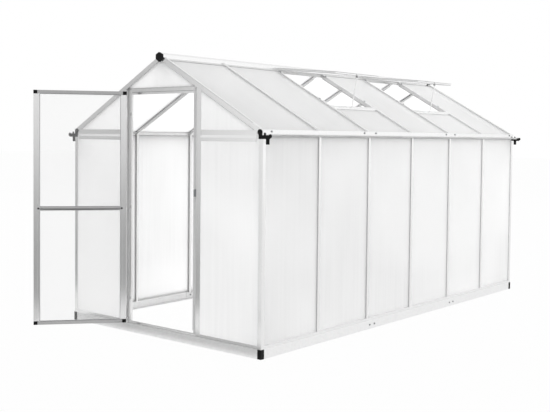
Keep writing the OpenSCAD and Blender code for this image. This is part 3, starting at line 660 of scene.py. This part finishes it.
ventLook = {"radius": 0.0018, "bend": 0.0, "sides": 8, "off": 0.0015, "boltX": (0.08, 0.48)}
rodLook = {"radius": 0.0035, "bend": 0.0, "sides": 12, "half": 0.040, "fromEnds": 0.10}
ventFace = widestFace("vent_frames", lambda p: p.normal.z > 0.5)
ventTurn = Matrix.Rotation(math.atan2(ventFace.normal.x, ventFace.normal.z), 4, "Y")
flatLow, flatHigh = boxOf([ventTurn.inverted() @ v.co for v in nodes["vent_frames"].data.vertices])
pivot = ventTurn @ Vector((flatLow.x - rodLook["radius"] / 2, 0, flatLow.z + rodLook["radius"]))
ventSealLines, rodLines, ventSpots = [], [], []
for low, high in ventBays:
    for x in ventLook["boltX"]:
        for y in (low, high):
            ventSpots.append((Vector((x, y, roofLine(x))), slopeUp))
    near, far = low + capHalf + ventLook["off"], high - capHalf - ventLook["off"]
    for height in (flatLow.z, flatHigh.z):
        top = ventTurn @ Vector((flatLow.x, 0, height))
        free = ventTurn @ Vector((flatHigh.x + ventLook["off"], 0, height))
        ventSealLines.append([(top.x, near, top.z), (free.x, near, free.z),
                              (free.x, far, free.z), (top.x, far, top.z)])
    for y in (low + rodLook["fromEnds"], high - rodLook["fromEnds"]):
        rodLines.append([(pivot.x, y - rodLook["half"], pivot.z), (pivot.x, y + rodLook["half"], pivot.z)])
sweepGroup("ventSeals", ventSealLines, "frame", ventLook, sealRubber)
sweepGroup("ventHingeRods", rodLines, "frame", rodLook, zinc)
boltGroup("roofBolts", ventSpots, "frame")


# wings of the ridge that hold the tops of the roof sheets down

wingLook = {"reach": 0.024, "thick": 0.002, "sunk": 0.0002, "inRidge": 0.0005, "fromGable": 0.026,
            "besideBar": 0.001, "bevelMm": 0.6, "sealOut": 0.0015, "sealUp": 0.001}
wingX = (ridgeHigh.x - wingLook["inRidge"], ridgeHigh.x + wingLook["reach"])
wingLifts = (-wingLook["sunk"], wingLook["thick"])
wingShapes, wingSeals = [], []
for sign in (-1, 1):
    for start, end in bayEnds(wingLook["fromGable"], wingLook["besideBar"]):
        if sign > 0 and inVentBay((start + end) / 2):
            continue
        wingShapes.append(slopedBar(sign, wingX, (start, end), wingLifts, sheetTop))
        x = wingX[1] + wingLook["sealOut"]
        z = sheetTop(x) + wingLook["sealUp"]
        wingSeals.append([(sign * x, start, z), (sign * x, end, z)])
newPiece("ridgeWings", wingShapes, wingLook["bevelMm"], aluminium)
sweepGroup("ridgeSeals", wingSeals, "frame", sealLook, darkRubberAndGrooveShade)


# drip channels clipped under the roof bars

dripLook = {"half": 0.018, "thick": 0.0025, "inBar": 0.0003, "fromRidge": 0.030, "fromFoot": 0.085,
            "bevelMm": 0.6}
barUnder = min((p for p in nodes["roof_bars_right"].data.polygons if p.normal.z < -0.5),
               key=lambda p: p.center.z - roofLine(p.center.x))
barDepth = roofLine(barUnder.center.x) - barUnder.center.z
dripX = (ridgeHigh.x + dripLook["fromRidge"], footX - dripLook["fromFoot"])
dripLifts = (-barDepth - dripLook["thick"], dripLook["inBar"] - barDepth)
dripShapes = []
for sign in (-1, 1):
    for y in barPlaces:
        ends = (y - dripLook["half"], y + dripLook["half"])
        dripShapes.append(slopedBar(sign, dripX, ends, dripLifts, roofLine))
# the drip channels under the bars take the darker copy of the aluminium: painted shade
newPiece("dripChannels", dripShapes, dripLook["bevelMm"], shadedAluminium)


# jambs at the sides of the open vents

jambLook = {"thick": 0.0025, "top": 0.004, "fromRidge": 0.030, "bevelMm": 0.6}
jambX, jambLifts = (ridgeHigh.x + jambLook["fromRidge"], ventFootX), (-barDepth, -jambLook["top"])
jambShapes = []
for low, high in ventBays:
    near, far = low + capHalf, high - capHalf
    for ends in ((near, near + jambLook["thick"]), (far - jambLook["thick"], far)):
        jambShapes.append(slopedBar(1, jambX, ends, jambLifts, roofLine))
# the jambs take the darker copy of the aluminium: painted shade
newPiece("ventJambs", jambShapes, jambLook["bevelMm"], shadedJambAluminium)


# sleeves of the black caps on the ends of the ridge, a little wider than the ridge's own outline

sleeveLook = {"frontLong": 0.016, "backLong": 0.055, "grow": 1.05, "past": 0.0005, "bevelMm": 0.8}
endPoints = [Vector((v.co.x, v.co.z)) for v in nodes["ridge_beam"].data.vertices
             if v.co.y > ridgeHigh.y - 0.0001]
outline = [endPoints[i] for i in convex_hull_2d(endPoints)]
centre = sum(outline, Vector((0, 0))) / len(outline)
outline = [centre + (p - centre) * sleeveLook["grow"] for p in outline]
count = len(outline)
sleeveFaces = [(i, (i + 1) % count, count + (i + 1) % count, count + i) for i in range(count)]
sleeveFaces += [tuple(range(count)), tuple(range(count, 2 * count))]
sleeveShapes = []
for sign, long in ((-1, sleeveLook["frontLong"]), (1, sleeveLook["backLong"])):
    depths = (sign * (ridgeHigh.y - long), sign * (ridgeHigh.y + sleeveLook["past"]))
    sleeveShapes.append(([Vector((p.x, y, p.y)) for y in depths for p in outline], sleeveFaces))
newPiece("ridgeSleeves", sleeveShapes, sleeveLook["bevelMm"], black)


# brackets at the tops of the stays and catches on the sills below

stayLook = {"wide": 0.007, "bracketIn": (0.016, 0.001), "bracketDown": (0.030, 0.004),
            "catchOut": (0.028, 0.052), "catchDown": (0.026, 0.010), "bevelMm": 1.5}
stayShapes = []
for low, high in ventBays:
    near, far = [(low + high) / 2 + way * stayLook["wide"] / 2 for way in (-1, 1)]
    for xs, zs in (([stayHigh.x - v for v in stayLook["bracketIn"]],
                    [stayHigh.z - v for v in stayLook["bracketDown"]]),
                   ([stayLow.x + v for v in stayLook["catchOut"]],
                    [ventSillHigh.z - v for v in stayLook["catchDown"]])):
        stayShapes.append(boxShape((xs[0], near, zs[0]), (xs[1], far, zs[1])))
newPiece("stayBrackets", stayShapes, stayLook["bevelMm"], black)
print("seals, vents and stays are dressed")


# gaskets under the front rafters, and a dark rubber line on the header that is painted shade standing for its
# groove

frontLook = {"radius": 0.0014, "bend": 0.0, "sides": 8, "depth": 0.0035, "ends": (0.05, 0.86),
             "under": 0.0005, "grooveShadeUp": 0.017, "grooveShadeIn": 0.0004, "grooveShadeShort": 0.002}
rafterSide = widestFace("rafters_front", lambda p: p.normal.y < -0.9 and p.center.x > 0)
corner = min((nodes["rafters_front"].data.vertices[i].co for i in rafterSide.vertices), key=lambda c: c.x)
gasketDrop = roofLine(corner.x) - corner.z + frontLook["under"]
frontLines = []
for sign in (-1, 1):
    frontLines.append([(sign * x, frontLook["depth"] - halfLength, roofLine(x) - gasketDrop)
                       for x in frontLook["ends"]])
# painted shade: a dark rubber line drawn where the header's groove lies in shade
grooveShadeX = (headerLow.x + frontLook["grooveShadeShort"], headerHigh.x - frontLook["grooveShadeShort"])
grooveShadeY, grooveShadeZ = stopY + frontLook["grooveShadeIn"], headerLow.z + frontLook["grooveShadeUp"]
frontLines.append([(x, grooveShadeY, grooveShadeZ) for x in grooveShadeX])
sweepGroup("frontGasketsAndGrooveShade", frontLines, "frame", frontLook, darkRubberAndGrooveShade)


# pale weather strips beside the leaf on the door stops; their near-white colour is partly painted highlight,
# standing for the bright reflection on the stops

stripLook = {"thick": 0.0025, "toStep": 0.0025, "inner": 0.0398, "clear": 0.002, "top": 1.765,
             "overSill": 0.012, "offKeeper": 0.001, "bulb": 0.008, "bulbIn": 0.0005,
             "bulbFrom": 0.0003, "bulbTo": 0.006, "bevelMm": 0.8}
stripFoot = sillTop + stripLook["overSill"]
stripShapes = []
for low, high in ((stripFoot, keeperLow.z - stripLook["offKeeper"]),
                  (keeperHigh.z + stripLook["offKeeper"], stripLook["top"])):
    stripShapes.append(boxShape((stepX - stripLook["inner"], stopY - stripLook["thick"], low),
                                (stepX - stripLook["toStep"], stopY, high)))
    stripShapes.append(boxShape((postInside - stripLook["bulb"], stopY + stripLook["bulbFrom"], low),
                                (postInside + stripLook["bulbIn"], stopY + stripLook["bulbTo"], high)))
stripShapes.append(boxShape((-stepX, stripLook["clear"] - halfLength, stripFoot),
                            (stripLook["thick"] - stepX, stopY - stripLook["clear"], stripLook["top"])))
# painted highlight: the strips' near-white stands partly for the bright reflection on the stops
newPiece("weatherStripsAndPaintedHighlight", stripShapes, stripLook["bevelMm"], paleRubberAndPaintedHighlight)


# the door leaf: gaskets round its panes

gasketLook = {"radius": 0.0015, "bend": 0.004, "sides": 8, "off": 0.0012, "inset": 0.0016}
gasketX = (paneLow.x + gasketLook["inset"], paneHigh.x - gasketLook["inset"])
gasketLines = []
for low, high in zip(paneEdges[::2], paneEdges[1::2]):
    bottom, top = low + gasketLook["inset"], high - gasketLook["inset"]
    corners = [(gasketX[0], bottom), (gasketX[1], bottom), (gasketX[1], top), (gasketX[0], top)]
    for y in (paneLow.y - gasketLook["off"], paneHigh.y + gasketLook["off"]):
        loop = [onLeaf(x, y, z) for x, z in corners]
        gasketLines.append(loop + [loop[0]])
sweepGroup("paneGaskets", gasketLines, "door", gasketLook, sealRubber)


# plugs and screws at the middle rail, screws of the hinges

plugSizes = {"headAcross": 0.011, "headHeight": 0.0016, "headSides": 16,
             "washerAcross": 0.014, "washerHeight": 0.0012, "washerSides": 20}
screwSizes = {"headAcross": 0.006, "headHeight": 0.0012, "headSides": 12,
              "washerAcross": 0.008, "washerHeight": 0.0006, "washerSides": 16}
leafFixings = {"plugOut": 0.010, "plugSunk": 0.0065, "screwIn": 0.016, "screwSunk": 0.001,
               "eyesTall": 0.060, "armFromEnd": 0.008, "armSunk": 0.002, "armUp": (0.012, 0.048),
               "plateFromEdge": 0.007, "plateSunk": 0.002, "plateUp": (0.010, 0.050)}
railZ = (paneEdges[1] + paneEdges[2]) / 2
plugSpots, screwSpots = [], []
for x in (paneLow.x - leafFixings["plugOut"], paneHigh.x + leafFixings["plugOut"]):
    plugSpots.append((onLeaf(x, leafHigh.y - leafFixings["plugSunk"], railZ), leafIn))
    plugSpots.append((onLeaf(x, leafLow.y + leafFixings["plugSunk"], railZ), leafOut))
for x in (paneLow.x + leafFixings["screwIn"], paneHigh.x - leafFixings["screwIn"]):
    screwSpots.append((onLeaf(x, leafHigh.y - leafFixings["screwSunk"], railZ), leafIn))
    screwSpots.append((onLeaf(x, leafLow.y + leafFixings["screwSunk"], railZ), leafOut))
boltGroup("midRailPlugs", plugSpots, "door", plugSizes, black)
eyesTall = leafFixings["eyesTall"]
hingeFeet = [eyeLow.z, (eyeLow.z + eyeHigh.z - eyesTall) / 2, round(eyeHigh.z, 3) - eyesTall]
armX, armY = eyeHigh.x - leafFixings["armFromEnd"], eyeHigh.y - leafFixings["armSunk"]
screwSpots += [(onLeaf(armX, armY, z + up), leafOut) for z in hingeFeet for up in leafFixings["armUp"]]
boltGroup("leafScrews", screwSpots, "door", screwSizes)
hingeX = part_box("door_hinge_knuckles")[0].x + leafFixings["plateFromEdge"]
hingeY = -halfLength - leafFixings["plateSunk"]
plateSpots = [((hingeX, hingeY, z + up), front) for z in hingeFeet for up in leafFixings["plateUp"]]
boltGroup("hingePlateScrews", plateSpots, "frame", screwSizes)


# the bent pull of the door

pullLook = {"radius": 0.006, "bend": 0.012, "sides": 16}
pullX = (pullLow.x + pullHigh.x) / 2
face, grip = pullHigh.y, pullLow.y + pullLook["radius"]
bottom, top = pullLow.z + pullLook["radius"], pullHigh.z - pullLook["radius"]
pullLine = [onLeaf(pullX, y, z) for y, z in ((face, bottom), (grip, bottom), (grip, top), (face, top))]
pull = sweepGroup("doorPull", [pullLine], "door", pullLook, black)
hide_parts("door_handle")
print("the leaf is dressed")


# CAD nodes whose edges are rounded

softEdges = {"base_corner_caps": (1.0, black, "black_plastic"),
             "door_corner_caps": (1.5, black, "black_plastic"),
             "ridge_caps": (1.5, black, "black_plastic"),
             "latch_keeper": (2.0, zinc, "aluminium"),
             "door_stiles": (0.9, aluminium, "aluminium"),
             # the door rails take the darker copy of the aluminium: painted shade
             "door_rails": (0.9, shadedAluminium, "aluminium")}
for nodeName, (bevelMm, material, slotName) in softEdges.items():
    softCopy(nodeName, bevelMm, material)
print("soft edges on", len(softEdges), "nodes")


# floor, cloths, world, lamps and camera

studio = {
    "floorReach": 60, "floorLight": "#dfdfdf", "floorDark": "#dcdcdc", "mottleMm": 900, "floorWhite": 0.98,
    "world": 0.46,
    # name: (azimuth from +X, elevation, distance, width, height, radiance); azimuth and elevation in degrees
    "boxes": {"rightBox": (39, 11, 14, 13.5, 6.5, 1.0), "rightSheen": (39, 9.5, 14, 13.5, 6.5, 0.20),
              "backBox": (112, 34, 14, 17, 9, 1.25), "backSheen": (112, 34, 14, 17, 9, 0.20),
              "leftBox": (175, 25, 14, 11, 7, 0.9), "frontBox": (-95, 45, 14, 11, 7, 0.66)},
    "aimAt": (0, 0, 1),
}
cloths = {
    # dark up to 5 m in front of the house's middle and pale from 14 m on; corners are seen from above
    "near": "#b8b8b8", "far": "#f0f0f0", "darkTo": 5.0, "paleFrom": 14.0, "lift": 0.004,
    "ground": {"leftCloth": ((-30, -2.75), (-0.1, -2.75), (-29.6, -34), (-59, -34)),
               "rightCloth": ((0.0, -2.75), (30, -2.75), (30, -40), (4, -40)),
               "apronCloth": ((-1, -1.89), (1, -1.89), (1, -2.12), (-1, -2.12))},
    "curtain": ((-8.1, -10.4), (-15.0, -1.0)), "curtainLow": 0.01, "curtainHigh": 6.0,
}


def straightRays(tree):
    # 1 for what the camera, a mirror or a clear sheet sees, 0 for what lights the object
    rays = addNode(tree, "ShaderNodeLightPath")
    seen = addNode(tree, "ShaderNodeMath", {
        0: rays.outputs["Is Camera Ray"], 1: rays.outputs["Is Glossy Ray"]}, operation="MAXIMUM")
    return addNode(tree, "ShaderNodeMath", {
        0: seen.outputs[0], 1: rays.outputs["Is Transmission Ray"]}, operation="MAXIMUM").outputs[0]


def makeFloor():
    # matt pale paint that takes the object's shadow, nearly white where it is looked at
    reach = studio["floorReach"]
    mesh = bpy.data.meshes.new("floor")
    mesh.from_pydata([(-reach, -reach, 0), (reach, -reach, 0), (reach, reach, 0), (-reach, reach, 0)],
                     [], [(0, 1, 2, 3)])
    floor = addObject("floor", mesh)
    material, tree, place = startMaterial("paleStudioFloor")
    mottle = addNode(tree, "ShaderNodeTexNoise", {
        "Vector": place, "Scale": perMetre(studio["mottleMm"]), "Detail": 3.0})
    colour = addNode(tree, "ShaderNodeMix", {
        0: mottle.outputs[0], 6: linear(studio["floorLight"]), 7: linear(studio["floorDark"])},
        data_type="RGBA")
    paint = addNode(tree, "ShaderNodeBsdfDiffuse", {"Color": colour.outputs[2]})
    white = addNode(tree, "ShaderNodeEmission", {"Color": (1, 1, 1, 1), "Strength": 1.0})
    seen = addNode(tree, "ShaderNodeMixShader", {
        0: studio["floorWhite"], 1: paint.outputs[0], 2: white.outputs[0]})
    endMaterial(tree, addNode(tree, "ShaderNodeMixShader", {
        0: straightRays(tree), 1: paint.outputs[0], 2: seen.outputs[0]}))
    dress(floor, material)


def studioCloth(name, near, far):
    material, tree, place = startMaterial(name)
    along = addNode(tree, "ShaderNodeSeparateXYZ", {0: place}).outputs["Y"]
    away = addNode(tree, "ShaderNodeMapRange", {
        "Value": along, "From Min": -cloths["darkTo"], "From Max": -cloths["paleFrom"]})
    colour = addNode(tree, "ShaderNodeMix", {
        0: away.outputs[0], 6: linear(near), 7: linear(far)}, data_type="RGBA")
    endMaterial(tree, addNode(tree, "ShaderNodeBsdfDiffuse", {"Color": colour.outputs[2]}))
    return material


def makeCloths():
    # the studio's darker side, cloths on the ground and a curtain, which only show in what metal mirrors
    ground = studioCloth("groundCloth", cloths["near"], cloths["far"])
    hung = studioCloth("curtainCloth", cloths["far"], cloths["far"])
    (x0, y0), (x1, y1) = cloths["curtain"]
    low, high = cloths["curtainLow"], cloths["curtainHigh"]
    flat = [(name, [(x, y, cloths["lift"]) for x, y in corners], ground)
            for name, corners in cloths["ground"].items()]
    upright = [("sideCurtain", [(x0, y0, low), (x1, y1, low), (x1, y1, high), (x0, y0, high)], hung)]
    for name, corners, material in flat + upright:
        mesh = bpy.data.meshes.new(name)
        mesh.from_pydata(corners, [], [(0, 1, 2, 3)])
        cloth = addObject(name, mesh)
        dress(cloth, material)
        cloth.visible_camera = cloth.visible_shadow = False
        cloth.visible_transmission = cloth.visible_diffuse = False


def makeLight():
    world = bpy.data.worlds.new("studio")
    scene.world = world
    world.use_nodes = True
    tree = world.node_tree
    tree.nodes.clear()
    level = addNode(tree, "ShaderNodeMapRange", {
        "Value": straightRays(tree), "To Min": studio["world"], "To Max": 1.0})
    sky = addNode(tree, "ShaderNodeBackground", {"Color": (1, 1, 1, 1), "Strength": level.outputs[0]})
    addNode(tree, "ShaderNodeOutputWorld", {"Surface": sky.outputs[0]})
    for name, (azimuth, elevation, distance, wide, high, radiance) in studio["boxes"].items():
        lamp = bpy.data.lights.new(name, "AREA")
        lamp.shape = "RECTANGLE"
        lamp.size, lamp.size_y = wide, high
        lamp.energy = radiance * math.pi * wide * high
        box = addObject(name, lamp)
        turn, lift = math.radians(azimuth), math.radians(elevation)
        away = Vector((math.cos(turn) * math.cos(lift), math.sin(turn) * math.cos(lift), math.sin(lift)))
        box.location = Vector(studio["aimAt"]) + distance * away
        box.rotation_euler = away.to_track_quat("Z", "Y").to_euler()
        box.visible_camera = False
        box.visible_glossy = "Sheen" in name    # metal mirrors the white room and a faint sheen, no lamps


lens = {"place": (4.6342, -6.1895, 1.4332), "yaw": -0.686, "pitch": -0.0417, "roll": 0.0105,
        "sensorMm": 36, "lensMm": 58.5713, "shiftX": -0.005745, "shiftY": -0.0576}


def makeCamera():
    yaw, pitch, roll = lens["yaw"], lens["pitch"], lens["roll"]
    ahead = Vector((math.sin(yaw) * math.cos(pitch), math.cos(yaw) * math.cos(pitch), math.sin(pitch)))
    right = Vector((math.cos(yaw), -math.sin(yaw), 0))
    up = right.cross(ahead)
    across = math.cos(roll) * right + math.sin(roll) * up
    upright = math.cos(roll) * up - math.sin(roll) * right
    data = bpy.data.cameras.new("camera")
    data.sensor_width = lens["sensorMm"]
    data.lens = lens["lensMm"]
    data.shift_x = lens["shiftX"]
    data.shift_y = lens["shiftY"]
    camera = addObject("camera", data)
    turned = Matrix((across, upright, -ahead)).transposed().to_4x4()
    camera.matrix_world = Matrix.Translation(Vector(lens["place"])) @ turned
    scene.camera = camera


makeFloor()
makeCloths()
makeLight()
makeCamera()
scene.view_settings.view_transform = "Standard"
print("stage, light and camera are set")
